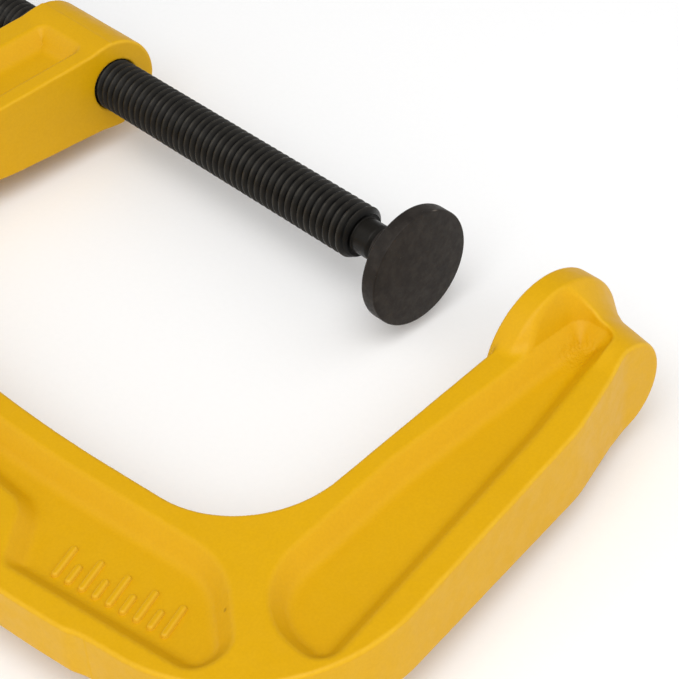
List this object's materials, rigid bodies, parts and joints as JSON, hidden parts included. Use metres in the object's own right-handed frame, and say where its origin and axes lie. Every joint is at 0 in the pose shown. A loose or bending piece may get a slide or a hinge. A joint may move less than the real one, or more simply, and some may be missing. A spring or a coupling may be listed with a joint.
{
  "type": "c clamp",
  "caption": "Cast C clamp with a hand screw, sliding T handle and swivel pad, for clamping work up to 150 mm thick.",
  "frame": {"origin": "centre of the anvil's clamping face, on the screw axis", "axes": "+X along the screw from its head towards the anvil, +Y from the spine towards the jaw tips, +Z through the frame's thickness"},
  "size_m": [0.3266, 0.208, 0.0416],
  "materials": {
    "yellow_paint": "satin enamel over a sand-cast iron surface",
    "black_oxide_steel": "satin black oxide, worn on the thread crests",
    "black_oxide_pad": "brownish black oxide, fine scratches"
  },
  "bodies": {
    "frame": {"frame": "yellow_paint"},
    "screw_tip": {"swivel_ball": "black_oxide_steel"},
    "screw": {"screw": "black_oxide_steel"},
    "pad": {"swivel_pad": "black_oxide_pad"},
    "handle": {"handle_bar": "black_oxide_steel", "handle_knob_near": "black_oxide_steel", "handle_knob_far": "black_oxide_steel"}
  },
  "joints": [
    {"name": "screw_advance", "type": "slide", "parent": "frame", "child": "screw_tip", "axis": [1, 0, 0], "range_m": [-0.1077, 0.0403]},
    {"name": "screw_turn", "type": "hinge", "parent": "screw_tip", "child": "screw", "pos_m": [-0.0509, 0, 0], "axis": [1, 0, 0], "range_deg": [-15264.57, 5711.82]},
    {"name": "pad_tilt", "type": "hinge", "parent": "screw_tip", "child": "pad", "pos_m": [-0.0509, 0, 0], "axis": [0, 0, 1], "range_deg": [-7, 7]},
    {"name": "handle_slide", "type": "slide", "parent": "screw", "child": "handle", "axis": [0, 1, 0], "range_m": [-0.038, 0.038]}
  ],
  "couplings": [
    {"joint": "screw_advance", "follows": "screw_turn", "m_per_rad": 0.00040425}
  ]
}
